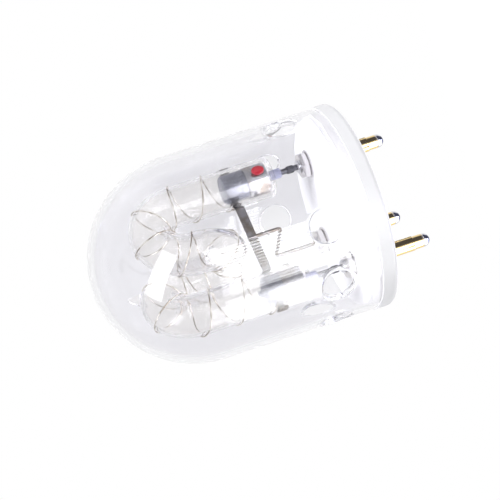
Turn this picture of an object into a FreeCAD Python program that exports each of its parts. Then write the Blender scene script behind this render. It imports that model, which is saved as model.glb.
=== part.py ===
"""Plug-in xenon flash tube: a folded quartz tube under a vented glass dome.

Frame: the origin is the centre of the base's back face. +Z runs up through the
dome, the cathode pin stands on +X, the anode pin on -X and the trigger pin on -Y.
Lengths are millimetres and angles are degrees.
"""
import FreeCAD
import Part
import math
import os
from types import SimpleNamespace

import Sketcher
from FreeCAD import Matrix, Placement, Rotation, Vector

# Driving sizes, one cell each
DRIVING_SIZES = {
    # Glass cover
    "cover_radius": 30.0,
    "cover_wall": 1.8,
    "cover_centre_height": 50.4,
    "cover_rim_round": 0.5,
    "vent_radius": 4.5,
    "vent_height": 18.0,
    "vent_step_angle": 36.0,
    "vents_each_side": 4,
    "vent_turn_angle": 5.5,
    "vent_outer_round": 1.15,
    "vent_inner_round": 0.45,
    # Base
    "flange_overhang": 0.2,
    "flange_thickness": 4.8,
    "flange_edge_round": 1.6,
    "spigot_height": 3.6,
    "cement_thickness": 0.35,
    "cement_height": 3.0,
    # Contact pins
    "pin_circle_inset": 12.9,
    "spot_face_depth": 0.2,
    "spot_face_clearance": 0.4,
    "stud_radius": 1.95,
    "stud_clearance": 0.05,
    "stud_above_nut": 0.9,
    "stud_chamfer": 0.3,
    "collar_radius": 2.9,
    "collar_thickness": 0.9,
    "core_radius": 1.3,
    "tip_radius": 2.0,
    "tip_land": 0.2,
    "tip_centre_depth": 13.0,
    "sleeve_rear_radius": 2.15,
    "sleeve_front_radius": 1.95,
    "sleeve_step_depth": 10.0,
    "sleeve_end_gap": 0.08,
    "sleeve_clearance": 0.05,
    "slit_width": 0.4,
    "slit_length": 7.0,
    "slit_count": 4,
    "slit_turn_angle": 45.0,
    # Nuts and washers
    "nut_across_flats": 7.0,
    "nut_height": 2.4,
    "nut_corner_drop": 0.35,
    "washer_radius": 4.2,
    "washer_thickness": 0.5,
    # Flash tube
    "tube_radius": 6.0,
    "tube_wall": 1.0,
    "near_pass_x": 2.4,
    "near_pass_y": 7.2,
    "far_pass_x": 2.6,
    "far_pass_y": -9.5,
    "second_bend_drop": 1.0,
    "near_pass_length": 0.6,
    "far_pass_length": 5.0,
    "anode_leg_end": 20.2,
    "cathode_leg_end": 22.7,
    "end_wall": 1.2,
    "end_round": 1.1,
    "tip_off_angle": 30.0,
    "tip_off_root_radius": 2.1,
    "tip_off_end_radius": 0.45,
    "tip_off_length": 4.2,
    "tip_off_sink": 0.7,
    # Electrodes, seals and leads
    "electrode_clearance": 0.4,
    "electrode_step": 0.3,
    "electrode_gap": 0.3,
    "electrode_edge_round": 0.45,
    "holder_length": 6.6,
    "anode_body_length": 6.9,
    "cathode_body_length": 4.9,
    "cathode_tip_radius": 0.9,
    "cathode_tip_length": 2.0,
    "seal_radius": 1.5,
    "seal_length_outside": 3.0,
    "seal_length_inside": 0.2,
    "lead_radius": 0.85,
    "lead_hole_clearance": 0.05,
    "lead_insertion": 1.5,
    "lead_hole_depth": 1.8,
    "joint_radius": 1.15,
    "joint_length": 2.1,
    "joint_above_stud": 1.0,
    "joint_chamfer": 0.25,
    # Strap and trigger parts
    "strap_drop": 18.0,
    "strap_width": 2.7,
    "strap_thickness": 0.3,
    "strap_bend_radius": 1.4,
    "strap_clearance": 0.1,
    "strap_overrun_angle": 12.0,
    "trigger_lead_radius": 0.55,
    "trigger_lead_overrun": 0.2,
    "trigger_lead_drop": 8.4,
    "trigger_lead_bend": 1.4,
    "wire_radius": 0.18,
    "wire_clearance": 0.06,
    "wire_pitch": 10.0,
    "wire_start_gap": 0.36,
    # Polarity mark
    "mark_length": 3.8,
    "mark_width": 3.0,
    "mark_thickness": 0.12,
    "mark_clearance": 0.02,
    "mark_above_end": 4.4,
}
SHEET_NAME = "Sizes"
CUT_MARGIN = 1.0
ARC_PAIRS_PER_TURN = 4


class Size:
    """A number with the sheet expression that it comes from."""

    def __init__(self, value, text):
        self.value = float(value)
        self.text = text

    def __float__(self):
        return self.value

    def combine(self, other, sign, result):
        right = other.text if isinstance(other, Size) else repr(other)
        return Size(result, f"({self.text} {sign} {right})")

    def __add__(self, other):
        return self.combine(other, "+", self.value + float(other))

    def __sub__(self, other):
        return self.combine(other, "-", self.value - float(other))

    def __mul__(self, other):
        return self.combine(other, "*", self.value * float(other))

    def __truediv__(self, other):
        return self.combine(other, "/", self.value / float(other))

    def __neg__(self):
        return Size(-self.value, f"(-1 * {self.text})")


ZERO = Size(0.0, "0")


def make_sheet(doc):
    """Writes each driving size into its own cell and returns them by name."""
    sheet = doc.addObject("Spreadsheet::Sheet", SHEET_NAME)
    named = {}
    for row, (alias, value) in enumerate(DRIVING_SIZES.items(), start=1):
        sheet.set(f"A{row}", alias)
        sheet.set(f"B{row}", str(value))
        sheet.setAlias(f"B{row}", alias)
        named[alias] = Size(value, f"{SHEET_NAME}.{alias}")
    doc.recompute()
    return SimpleNamespace(**named)


doc = FreeCAD.newDocument("FlashTube")
S = make_sheet(doc)

# Heights and radii that several pieces share
flange_radius = S.cover_radius + S.flange_overhang
pin_circle_radius = S.cover_radius - S.pin_circle_inset
spigot_top = S.flange_thickness + S.spigot_height
cover_inner_radius = S.cover_radius - S.cover_wall
spigot_radius = cover_inner_radius - S.cement_thickness
washer_top = spigot_top + S.washer_thickness
nut_top = washer_top + S.nut_height
stud_top = nut_top + S.stud_above_nut
stud_hole_radius = S.stud_radius + S.stud_clearance
sleeve_end_depth = S.tip_centre_depth - S.tip_land - S.sleeve_end_gap
tube_inner_radius = S.tube_radius - S.tube_wall
electrode_radius = tube_inner_radius - S.electrode_clearance
second_bend_height = S.cover_centre_height - S.second_bend_drop
first_bend_height = second_bend_height + S.near_pass_length
third_bend_height = second_bend_height + S.far_pass_length
strap_height = S.cover_centre_height - S.strap_drop
strap_low = strap_height - S.strap_width / 2
strap_high = strap_height + S.strap_width / 2

# Pins by name: the direction they stand in and the radius of the lead they take
PINS = {
    "cathode": (0.0, S.lead_radius),
    "anode": (180.0, S.lead_radius),
    "trigger": (-90.0, S.trigger_lead_radius),
}


def at_pin(name):
    """Returns the placement of a pin's own frame on the base."""
    angle = PINS[name][0]
    radius = pin_circle_radius.value
    x = radius * math.cos(math.radians(angle))
    y = radius * math.sin(math.radians(angle))
    return Placement(Vector(x, y, 0), Rotation(Vector(0, 0, 1), angle))


def bind(item, name, size):
    """Sets a property to a size and ties it to the sheet."""
    setattr(item, name, size.value)
    item.setExpression(name, size.text)


def new_body(label, placement=Placement()):
    body = doc.addObject("PartDesign::Body", label)
    body.Label = label
    body.Placement = placement
    return body


def new_sketch(body, plane, name):
    sketch = body.newObject("Sketcher::SketchObject", name)
    origin_plane = next(f for f in body.Origin.OriginFeatures if f.Role == plane)
    sketch.AttachmentSupport = [(origin_plane, "")]
    sketch.MapMode = "FlatFace"
    return sketch


def fix_point(sketch, geometry, point, across, along):
    """Dimensions one sketch point from the sketch's origin."""
    for kind, size in (("DistanceX", across), ("DistanceY", along)):
        if size is ZERO:
            axis = -2 if kind == "DistanceX" else -1
            sketch.addConstraint(Sketcher.Constraint("PointOnObject", geometry, point, axis))
            continue
        row = sketch.addConstraint(Sketcher.Constraint(kind, -1, 1, geometry, point, size.value))
        sketch.setExpression(f"Constraints[{row}]", size.text)


def draw_outline(sketch, outline):
    """Draws a closed outline of points (across, along) or (across, along, "arc").

    An arc runs from its point to the next one and has its centre on the sketch's
    upright axis.
    """
    count = len(outline)
    first = sketch.GeometryCount
    ends = []
    for row, corner in enumerate(outline):
        start = Vector(corner[0].value, corner[1].value, 0)
        following = outline[(row + 1) % count]
        end = Vector(following[0].value, following[1].value, 0)
        if len(corner) == 3:
            height = (end.x ** 2 + end.y ** 2 - start.x ** 2 - start.y ** 2) / (2 * (end.y - start.y))
            centre = Vector(0, height, 0)
            angles = [math.atan2(p.y - height, p.x) for p in (start, end)]
            turns_left = math.sin(angles[1] - angles[0]) > 0
            low, high = angles if turns_left else angles[::-1]
            circle = Part.Circle(centre, Vector(0, 0, 1), (start - centre).Length)
            sketch.addGeometry(Part.ArcOfCircle(circle, low, high), False)
            ends.append((1, 2) if turns_left else (2, 1))
            sketch.addConstraint(Sketcher.Constraint("PointOnObject", first + row, 3, -2))
        else:
            sketch.addGeometry(Part.LineSegment(start, end), False)
            ends.append((1, 2))
    for row in range(count):
        after = (row + 1) % count
        sketch.addConstraint(
            Sketcher.Constraint("Coincident", first + row, ends[row][1], first + after, ends[after][0]))
    for row, corner in enumerate(outline):
        fix_point(sketch, first + row, ends[row][0], corner[0], corner[1])


def revolve(body, outline, kind="PartDesign::Revolution"):
    """Turns an outline drawn in the XZ plane about the body's own Z axis."""
    sketch = new_sketch(body, "XZ_Plane", f"{body.Label}_outline")
    draw_outline(sketch, outline)
    turned = body.newObject(kind, f"{body.Label}_turned")
    turned.Profile = sketch
    turned.ReferenceAxis = (sketch, ["V_Axis"])
    turned.Angle = 360.0
    doc.recompute()
    return turned


def turned_piece(label, outline, placement=Placement()):
    body = new_body(label, placement)
    revolve(body, outline)
    return body


def ring_outline(inner, outer, low, high):
    return [(inner, low), (outer, low), (outer, high), (inner, high)]


def circle_edges(shape, test):
    """Names the edges of a shape whose sample points all pass a test."""
    names = []
    for row, edge in enumerate(shape.Edges, start=1):
        if not edge.Degenerated and all(test(p) for p in edge.discretize(9)):
            names.append(f"Edge{row}")
    return names


def round_edges(body, name, edges, size, kind="PartDesign::Fillet"):
    """Rounds or chamfers the named edges of the body's last feature."""
    last = body.Tip
    feature = body.newObject(kind, name)
    feature.Base = (last, edges)
    bind(feature, "Radius" if kind.endswith("Fillet") else "Size", size)
    doc.recompute()
    return feature


def from_axis(point):
    return math.hypot(point.x, point.y)


def near(value, size, slack=0.01):
    return abs(value - float(size)) < slack


# Glass cover: a blown dome with two rows of fire-polished vents round its skirt
def make_glass_cover():
    body = new_body("glass_cover")
    apex = S.cover_centre_height + S.cover_radius
    revolve(body, [
        (cover_inner_radius, S.flange_thickness),
        (S.cover_radius, S.flange_thickness),
        (S.cover_radius, S.cover_centre_height, "arc"),
        (ZERO, apex),
        (ZERO, apex - S.cover_wall, "arc"),
        (cover_inner_radius, S.cover_centre_height),
    ])
    solid = body.Tip.Shape
    rim = circle_edges(solid, lambda p: near(p.z, S.flange_thickness) and near(from_axis(p), S.cover_radius))
    round_edges(body, "rim_round", rim, S.cover_rim_round)
    for side in ("east", "west"):
        sketch = new_sketch(body, "YZ_Plane", f"{side}_vent_sketch")
        row = sketch.addGeometry(Part.Circle(Vector(0, S.vent_height.value, 0), Vector(0, 0, 1),
                                             S.vent_radius.value), False)
        fix_point(sketch, row, 3, ZERO, S.vent_height)
        radius_row = sketch.addConstraint(Sketcher.Constraint("Radius", row, S.vent_radius.value))
        sketch.setExpression(f"Constraints[{radius_row}]", S.vent_radius.text)
        pocket = body.newObject("PartDesign::Pocket", f"{side}_vent")
        pocket.Profile = sketch
        pocket.Type = 1
        pocket.Reversed = side == "east"
        doc.recompute()
        pattern = body.newObject("PartDesign::PolarPattern", f"{side}_vents")
        pattern.Originals = [pocket]
        pattern.Axis = (next(f for f in body.Origin.OriginFeatures if f.Role == "Z_Axis"), [""])
        bind(pattern, "Angle", S.vent_step_angle * (S.vents_each_side - 1))
        pattern.Occurrences = int(S.vents_each_side.value)
        pattern.setExpression("Occurrences", S.vents_each_side.text)
        body.Tip = pattern
        doc.recompute()
    for name, radius, size in (("vent_outer_round", S.cover_radius, S.vent_outer_round),
                               ("vent_inner_round", cover_inner_radius, S.vent_inner_round)):
        reach = S.vent_radius.value + 0.5
        edges = circle_edges(body.Tip.Shape, lambda p: near(from_axis(p), radius)
                             and abs(p.z - S.vent_height.value) < reach)
        round_edges(body, name, edges, size)
    first_vent = S.vent_turn_angle.value - S.vent_step_angle.value * (S.vents_each_side.value - 1) / 2
    body.Placement = Placement(Vector(0, 0, 0), Rotation(Vector(0, 0, 1), first_vent))
    return body


def draw_pin_circles(sketch, radius):
    """Draws one circle of the given radius round each pin's axis."""
    for angle, _ in PINS.values():
        across = pin_circle_radius * round(math.cos(math.radians(angle)), 9)
        along = pin_circle_radius * round(math.sin(math.radians(angle)), 9)
        centre = Vector(across.value, along.value, 0)
        row = sketch.addGeometry(Part.Circle(centre, Vector(0, 0, 1), radius.value), False)
        fix_point(sketch, row, 3, across if across.value else ZERO, along if along.value else ZERO)
        radius_row = sketch.addConstraint(Sketcher.Constraint("Radius", row, radius.value))
        sketch.setExpression(f"Constraints[{radius_row}]", radius.text)


# Base: a white ceramic disc whose spigot carries the cover. A shallow spot face
# round each stud hole gives the pin's collar a true seat
def make_base_disc():
    body = new_body("base_disc")
    revolve(body, [
        (ZERO, ZERO),
        (flange_radius, ZERO),
        (flange_radius, S.flange_thickness),
        (spigot_radius, S.flange_thickness),
        (spigot_radius, spigot_top),
        (ZERO, spigot_top),
    ])
    edge = circle_edges(body.Tip.Shape, lambda p: near(p.z, 0) and near(from_axis(p), flange_radius))
    round_edges(body, "back_edge_round", edge, S.flange_edge_round)
    sketch = new_sketch(body, "XY_Plane", "stud_holes_sketch")
    draw_pin_circles(sketch, stud_hole_radius)
    pocket = body.newObject("PartDesign::Pocket", "stud_holes")
    pocket.Profile = sketch
    pocket.Type = 1
    pocket.Reversed = True
    doc.recompute()
    sketch = new_sketch(body, "XY_Plane", "spot_faces_sketch")
    draw_pin_circles(sketch, S.collar_radius + S.spot_face_clearance)
    pocket = body.newObject("PartDesign::Pocket", "spot_faces")
    pocket.Profile = sketch
    bind(pocket, "Length", S.spot_face_depth)
    pocket.Reversed = True
    doc.recompute()
    return body


# Cement ring between the cover's skirt and the base's spigot
def make_bond_ring():
    return turned_piece("bond_ring", ring_outline(
        spigot_radius, cover_inner_radius, S.flange_thickness, S.flange_thickness + S.cement_height))


# Pin core: stud, collar, core and round tip turned from one bar
def make_pin_core(name):
    hole_radius = PINS[name][1] + S.lead_hole_clearance
    hole_floor = stud_top - S.lead_hole_depth
    shoulder = -(S.tip_centre_depth - S.tip_land)
    return turned_piece(f"{name}_pin", [
        (ZERO, hole_floor),
        (hole_radius, hole_floor),
        (hole_radius, stud_top),
        (S.stud_radius - S.stud_chamfer, stud_top),
        (S.stud_radius, stud_top - S.stud_chamfer),
        (S.stud_radius, S.spot_face_depth),
        (S.collar_radius, S.spot_face_depth),
        (S.collar_radius, -S.collar_thickness),
        (S.core_radius, -S.collar_thickness),
        (S.core_radius, shoulder),
        (S.tip_radius, shoulder),
        (S.tip_radius, -S.tip_centre_depth, "arc"),
        (ZERO, -(S.tip_centre_depth + S.tip_radius)),
    ], at_pin(name))


# Contact sleeve: a stepped spring sleeve slit lengthwise, pressed on the core
def make_contact_sleeve(name):
    body = new_body(f"{name}_contact_sleeve", at_pin(name))
    bore = S.core_radius + S.sleeve_clearance
    back = -(S.collar_thickness + S.sleeve_end_gap)
    step = -S.sleeve_step_depth
    end = -sleeve_end_depth
    revolve(body, [
        (bore, end),
        (S.sleeve_front_radius, end),
        (S.sleeve_front_radius, step),
        (S.sleeve_rear_radius, step),
        (S.sleeve_rear_radius, back),
        (bore, back),
    ])
    sketch = new_sketch(body, "XZ_Plane", f"{name}_slit_sketch")
    sketch.AttachmentOffset = Placement(Vector(0, 0, 0), Rotation(Vector(0, 1, 0), S.slit_turn_angle.value))
    sketch.setExpression("AttachmentOffset.Rotation.Angle", S.slit_turn_angle.text)
    half = S.slit_width / 2
    draw_outline(sketch, [(-half, step), (half, step), (half, step + S.slit_length),
                          (-half, step + S.slit_length)])
    slit = body.newObject("PartDesign::Pocket", f"{name}_slit")
    slit.Profile = sketch
    slit.Type = 1
    doc.recompute()
    pattern = body.newObject("PartDesign::PolarPattern", f"{name}_slits")
    pattern.Originals = [slit]
    pattern.Axis = (next(f for f in body.Origin.OriginFeatures if f.Role == "Z_Axis"), [""])
    pattern.Angle = 360.0
    pattern.Occurrences = int(S.slit_count.value)
    pattern.setExpression("Occurrences", S.slit_count.text)
    body.Tip = pattern
    doc.recompute()
    return body


# Hexagon nut that pulls the pin's collar against the base
def make_nut(name):
    body = new_body(f"{name}_nut", at_pin(name))
    sketch = new_sketch(body, "XY_Plane", f"{name}_hexagon")
    corner = S.nut_across_flats / math.sqrt(3)
    points = [Vector(corner.value * math.cos(math.radians(60 * k)),
                     corner.value * math.sin(math.radians(60 * k)), 0) for k in range(6)]
    for k in range(6):
        sketch.addGeometry(Part.LineSegment(points[k], points[(k + 1) % 6]), False)
    for k in range(6):
        sketch.addConstraint(Sketcher.Constraint("Coincident", k, 2, (k + 1) % 6, 1))
    for k in range(6):
        across = corner * round(math.cos(math.radians(60 * k)), 9)
        along = corner * round(math.sin(math.radians(60 * k)), 9)
        fix_point(sketch, k, 1, across, along if along.value else ZERO)
    sketch.AttachmentOffset = Placement(Vector(0, 0, washer_top.value), Rotation())
    sketch.setExpression("AttachmentOffset.Base.z", washer_top.text)
    pad = body.newObject("PartDesign::Pad", f"{name}_hexagon_pad")
    pad.Profile = sketch
    bind(pad, "Length", S.nut_height)
    doc.recompute()
    flat = S.nut_across_flats / 2
    outside = corner + S.nut_corner_drop
    low, high = washer_top - S.nut_corner_drop, nut_top + S.nut_corner_drop
    for end, face, inward in (("low", washer_top, S.nut_corner_drop), ("high", nut_top, -S.nut_corner_drop)):
        beyond = low if end == "low" else high
        cone = [(flat, face), (outside, face + inward), (outside, beyond), (flat, beyond)]
        cone_sketch = new_sketch(body, "XZ_Plane", f"{name}_{end}_chamfer_sketch")
        draw_outline(cone_sketch, cone)
        groove = body.newObject("PartDesign::Groove", f"{name}_{end}_chamfer")
        groove.Profile = cone_sketch
        groove.ReferenceAxis = (cone_sketch, ["V_Axis"])
        groove.Angle = 360.0
        doc.recompute()
    bore = new_sketch(body, "XZ_Plane", f"{name}_bore_sketch")
    draw_outline(bore, [(ZERO, low), (stud_hole_radius, low), (stud_hole_radius, high), (ZERO, high)])
    cut = body.newObject("PartDesign::Groove", f"{name}_bore")
    cut.Profile = bore
    cut.ReferenceAxis = (bore, ["V_Axis"])
    cut.Angle = 360.0
    doc.recompute()
    return body


def make_washer(name):
    return turned_piece(f"{name}_washer", ring_outline(
        stud_hole_radius, S.washer_radius, spigot_top, washer_top), at_pin(name))


class TubeRoute:
    """The flash tube's centre line: straight passes joined by half-circle bends.

    Each stretch is (length, start frame, turn axis, radius); the frame is carried
    along without twist, so a point beside the line can be followed round the bends.
    """

    def __init__(self):
        anode = at_pin("anode").Base
        cathode = at_pin("cathode").Base
        near_pass = Vector(S.near_pass_x.value, S.near_pass_y.value, 0)
        far_pass = Vector(S.far_pass_x.value, S.far_pass_y.value, 0)
        heights = [S.anode_leg_end, first_bend_height, second_bend_height,
                   third_bend_height, S.cathode_leg_end]
        passes = [anode, near_pass, far_pass, cathode]
        self.stretches = []
        self.edges = []
        frame = Rotation()
        for row, place in enumerate(passes):
            start = place + Vector(0, 0, heights[row].value)
            end = place + Vector(0, 0, heights[row + 1].value)
            self.stretches.append(((end - start).Length, start, end, frame, None))
            self.edges.append(Part.LineSegment(start, end).toShape())
            if row == len(passes) - 1:
                break
            following = passes[row + 1] + Vector(0, 0, end.z)
            across = (following - end).normalize()
            heading = frame.multVec(Vector(0, 0, 1))
            axis = heading.cross(across)
            centre = (end + following) / 2
            radius = (following - end).Length / 2
            top = centre + heading * radius
            self.stretches.append((math.pi * radius, end, centre, frame, axis))
            self.edges.append(Part.Arc(end, top, following).toShape())
            frame = Rotation(axis, 180).multiply(frame)
        self.length = sum(stretch[0] for stretch in self.stretches)

    def place_at(self, distance):
        """Returns the point and frame at a distance along the line."""
        for row, (length, start, other, frame, axis) in enumerate(self.stretches):
            if distance <= length or row == len(self.stretches) - 1:
                if axis is None:
                    return start + (other - start) * (distance / length), frame
                turn = Rotation(axis, 180 * distance / length)
                return other + turn.multVec(start - other), turn.multiply(frame)
            distance -= length

    def pipe(self, radius):
        """Returns the solid swept by a disc along the whole line."""
        point, frame = self.place_at(0)
        disc = Part.Wire([Part.Circle(point, Vector(0, 0, 1), radius).toShape()])
        return Part.Wire(self.edges).makePipeShell([disc], True, True)


def named_feature(label, shape, placement=Placement()):
    feature = doc.addObject("Part::Feature", label)
    feature.Label = label
    feature.Shape = shape
    feature.Placement = placement
    return feature


def upright_cylinder(centre, radius, low, high):
    base = Vector(centre.x, centre.y, float(low))
    return Part.makeCylinder(float(radius), float(high) - float(low), base)


def closed_end(centre, end):
    """The leg's flat end wall with a rounded corner and a hole for its seal."""
    wall_top = float(end) + S.end_wall.value
    wall = upright_cylinder(centre, S.tube_radius, end, wall_top)
    corner = [e for e in wall.Edges if near(e.BoundBox.ZMin, end) and near(e.BoundBox.ZMax, end)]
    wall = wall.makeFillet(S.end_round.value, corner)
    return wall.cut(upright_cylinder(centre, S.seal_radius, float(end) - CUT_MARGIN,
                                         wall_top + CUT_MARGIN))


# Flash tube: one length of quartz tube, bent in three and closed at both ends
def make_flash_tube(route):
    anode, cathode = at_pin("anode").Base, at_pin("cathode").Base
    outer = route.pipe(S.tube_radius.value)
    for centre, end in ((anode, S.anode_leg_end), (cathode, S.cathode_leg_end)):
        outer = outer.cut(upright_cylinder(centre, S.tube_radius + S.tube_wall, float(end) - CUT_MARGIN,
                                           end + S.end_wall))
    bore = route.pipe(tube_inner_radius.value)
    shape = outer.cut(bore)
    for centre, end in ((anode, S.anode_leg_end), (cathode, S.cathode_leg_end)):
        shape = shape.fuse(closed_end(centre, end))
    far_pass = Vector(S.far_pass_x.value, S.far_pass_y.value, third_bend_height.value)
    leg = Vector(cathode.x, cathode.y, third_bend_height.value)
    toward_leg = (leg - far_pass).normalize()
    bend_centre = (far_pass + leg) / 2
    angle = math.radians(S.tip_off_angle.value)
    outward = Vector(0, 0, 1) * math.cos(angle) - toward_leg * math.sin(angle)
    root = bend_centre + outward * ((leg - far_pass).Length / 2 + S.tube_radius.value - S.tip_off_sink.value)
    cone = Part.makeCone(S.tip_off_root_radius.value, S.tip_off_end_radius.value,
                         S.tip_off_length.value + S.tip_off_sink.value, root, outward)
    end = root + outward * (S.tip_off_length.value + S.tip_off_sink.value)
    shape = shape.fuse([cone, Part.makeSphere(S.tip_off_end_radius.value, end)])
    return named_feature("flash_tube", shape.removeSplitter())


def electrode_low(leg_end):
    return leg_end + S.end_wall + S.electrode_gap


# Electrode holder: a plain metal plug at the closed end of each leg
def make_holder(name, leg_end):
    low = electrode_low(leg_end)
    high = low + S.holder_length
    edge = S.electrode_edge_round
    return turned_piece(f"{name}_holder", [
        (ZERO, low),
        (electrode_radius - edge, low),
        (electrode_radius, low + edge),
        (electrode_radius, high),
        (ZERO, high),
    ], at_pin(name))


# Electrode body: the sintered plug in front of the holder
def make_electrode(name, leg_end, length, tip_length):
    low = electrode_low(leg_end) + S.holder_length
    high = low + length
    radius = electrode_radius - S.electrode_step
    edge = S.electrode_edge_round
    outline = [(ZERO, low), (radius, low), (radius, high - edge), (radius - edge, high)]
    if tip_length is None:
        outline.append((ZERO, high))
    else:
        outline += [(S.cathode_tip_radius, high), (S.cathode_tip_radius, high + tip_length),
                    (ZERO, high + tip_length)]
    return turned_piece(f"{name}_electrode", outline, at_pin(name))


# Seal: the stem of sealing glass where the lead leaves the quartz
def make_seal(name, leg_end):
    return turned_piece(f"{name}_seal", ring_outline(
        S.lead_radius, S.seal_radius, leg_end - S.seal_length_outside,
        leg_end + S.end_wall + S.seal_length_inside), at_pin(name))


# Lead: a straight rod from the electrode down into the pin's stud
def make_lead(name, leg_end):
    low = stud_top - S.lead_insertion
    high = electrode_low(leg_end)
    return turned_piece(f"{name}_lead", [
        (ZERO, low), (S.lead_radius, low), (S.lead_radius, high), (ZERO, high)], at_pin(name))


# Joint: the crimped ferrule on the lead above the stud
def make_lead_joint(name):
    low = stud_top + S.joint_above_stud
    high = low + S.joint_length
    edge = S.joint_chamfer
    return turned_piece(f"{name}_lead_joint", [
        (S.lead_radius, low),
        (S.joint_radius - edge, low),
        (S.joint_radius, low + edge),
        (S.joint_radius, high - edge),
        (S.joint_radius - edge, high),
        (S.lead_radius, high),
    ], at_pin(name))


# Strap: a spring strip that hooks round the back of both legs
def make_tube_strap():
    leg = pin_circle_radius.value
    half = S.strap_thickness.value / 2
    hook = S.tube_radius.value + S.strap_clearance.value + half
    bend = S.strap_bend_radius.value
    reach = math.sqrt((hook + bend) ** 2 - bend ** 2)
    meet_angle = math.atan2(-bend, -reach)
    overrun = math.radians(S.strap_overrun_angle.value)

    def on_circle(centre, radius, angle):
        return centre + Vector(radius * math.cos(angle), radius * math.sin(angle), 0)

    def side_edges(offset):
        """Right half of the strip's line, shifted to its left by the offset."""
        leg_centre = Vector(leg, 0, 0)
        bend_centre = Vector(leg - reach, -bend, 0)
        meet = on_circle(leg_centre, hook - offset, meet_angle)
        start = Vector(leg - reach, offset, 0)
        turn_radius = bend + offset
        middle = on_circle(bend_centre, turn_radius, (math.pi / 2 + meet_angle + math.pi) / 2)
        free_angle = overrun
        hook_middle = on_circle(leg_centre, hook - offset, (meet_angle + free_angle) / 2)
        free = on_circle(leg_centre, hook - offset, free_angle)
        return [Part.LineSegment(Vector(0, offset, 0), start).toShape(),
                Part.Arc(start, middle, meet).toShape(),
                Part.Arc(meet, hook_middle, free).toShape()], free

    upper, upper_end = side_edges(half)
    lower, lower_end = side_edges(-half)
    right = upper + [Part.LineSegment(upper_end, lower_end).toShape()] + lower[::-1]
    middle_cut = Part.LineSegment(Vector(0, -half, 0), Vector(0, half, 0)).toShape()
    face = Part.Face(Part.Wire(Part.__sortEdges__(right + [middle_cut])))
    strip = face.extrude(Vector(0, 0, S.strap_width.value))
    mirrored = strip.mirror(Vector(0, 0, 0), Vector(1, 0, 0))
    shape = strip.fuse(mirrored).removeSplitter()
    return named_feature("tube_strap", shape, Placement(Vector(0, 0, strap_low.value), Rotation()))


# Trigger lead: a bent rod from the middle of the strap to the trigger pin
def make_trigger_lead():
    front = S.strap_thickness.value / 2 + S.trigger_lead_radius.value
    pin = pin_circle_radius.value
    top = strap_high.value + S.trigger_lead_overrun.value
    level = strap_height.value - S.trigger_lead_drop.value
    bottom = stud_top.value - S.lead_insertion.value
    bend = S.trigger_lead_bend.value
    corner = bend * (1 - math.sqrt(0.5))
    points = [Vector(0, front, top), Vector(0, front, level + bend),
              Vector(0, front - bend, level), Vector(0, -pin + bend, level),
              Vector(0, -pin, level - bend), Vector(0, -pin, bottom)]
    first_bend = Vector(0, front - corner, level + corner)
    second_bend = Vector(0, -pin + corner, level - corner)
    edges = [Part.LineSegment(points[0], points[1]).toShape(),
             Part.Arc(points[1], first_bend, points[2]).toShape(),
             Part.LineSegment(points[2], points[3]).toShape(),
             Part.Arc(points[3], second_bend, points[4]).toShape(),
             Part.LineSegment(points[4], points[5]).toShape()]
    disc = Part.Wire([Part.Circle(points[0], Vector(0, 0, 1), S.trigger_lead_radius.value).toShape()])
    return named_feature("trigger_lead", Part.Wire(edges).makePipeShell([disc], True, True))


def tangent_arcs(start, leaving, end, arriving):
    """Two circular arcs that leave one point and reach another in given directions."""
    chord = end - start
    both = leaving + arriving
    bend = 2 * (1 - leaving.dot(arriving))
    along = chord.dot(both)
    reach = (math.sqrt(along ** 2 + bend * chord.dot(chord)) - along) / bend
    first, second = start + leaving * reach, end - arriving * reach
    joint = (first + second) / 2
    arcs = []
    for a, corner, b in ((start, first, joint), (joint, second, end)):
        middle = (a + b) / 2
        rise = (corner - middle).Length
        half = (b - a).Length / 2
        sagitta = half * math.tan(math.atan2(rise, half) / 2)
        arcs.append(Part.Arc(a, middle + (corner - middle) * (sagitta / rise), b).toShape())
    return arcs


# Trigger wire: fine wire wound round the tube from the strap and back to it
def make_trigger_wire(route):
    ring = S.tube_radius.value + S.wire_clearance.value + S.wire_radius.value
    pitch = S.wire_pitch.value
    first = strap_high.value + S.wire_start_gap.value - S.anode_leg_end.value
    last = route.length - (strap_high.value + S.wire_start_gap.value - S.cathode_leg_end.value)

    def wire_point(distance):
        point, frame = route.place_at(distance)
        angle = -2 * math.pi * (distance - first) / pitch
        return point + frame.multVec(Vector(math.cos(angle), math.sin(angle), 0)) * ring

    def heading(distance):
        return (wire_point(distance + 0.001) - wire_point(distance - 0.001)).normalize()

    steps = round((last - first) / pitch * ARC_PAIRS_PER_TURN)
    stations = [first + (last - first) * k / steps for k in range(steps + 1)]
    edges = []
    for here, there in zip(stations, stations[1:]):
        edges += tangent_arcs(wire_point(here), heading(here), wire_point(there), heading(there))
    disc = Part.Wire([Part.Circle(wire_point(first), heading(first), S.wire_radius.value).toShape()])
    return named_feature("trigger_wire", Part.Wire(edges).makePipeShell([disc], True, True))


# Polarity mark: a spot of red enamel on the anode leg
def make_polarity_mark():
    centre = at_pin("anode").Base
    inner = S.tube_radius.value + S.mark_clearance.value
    outer = inner + S.mark_thickness.value
    height = S.anode_leg_end.value + S.mark_above_end.value
    low = height - S.mark_length.value
    high = height + S.mark_length.value
    shell = upright_cylinder(centre, outer, low, high).cut(upright_cylinder(centre, inner, low, high))
    spot = Part.makeCylinder(S.mark_width.value / 2, outer * 2, Vector(0, 0, 0), Vector(0, 1, 0))
    stretch = Matrix()
    stretch.scale(1, 1, S.mark_length.value / S.mark_width.value)
    spot = spot.transformGeometry(stretch)
    spot.translate(Vector(centre.x, centre.y, height))
    return named_feature("polarity_mark", shell.common(spot))


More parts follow.
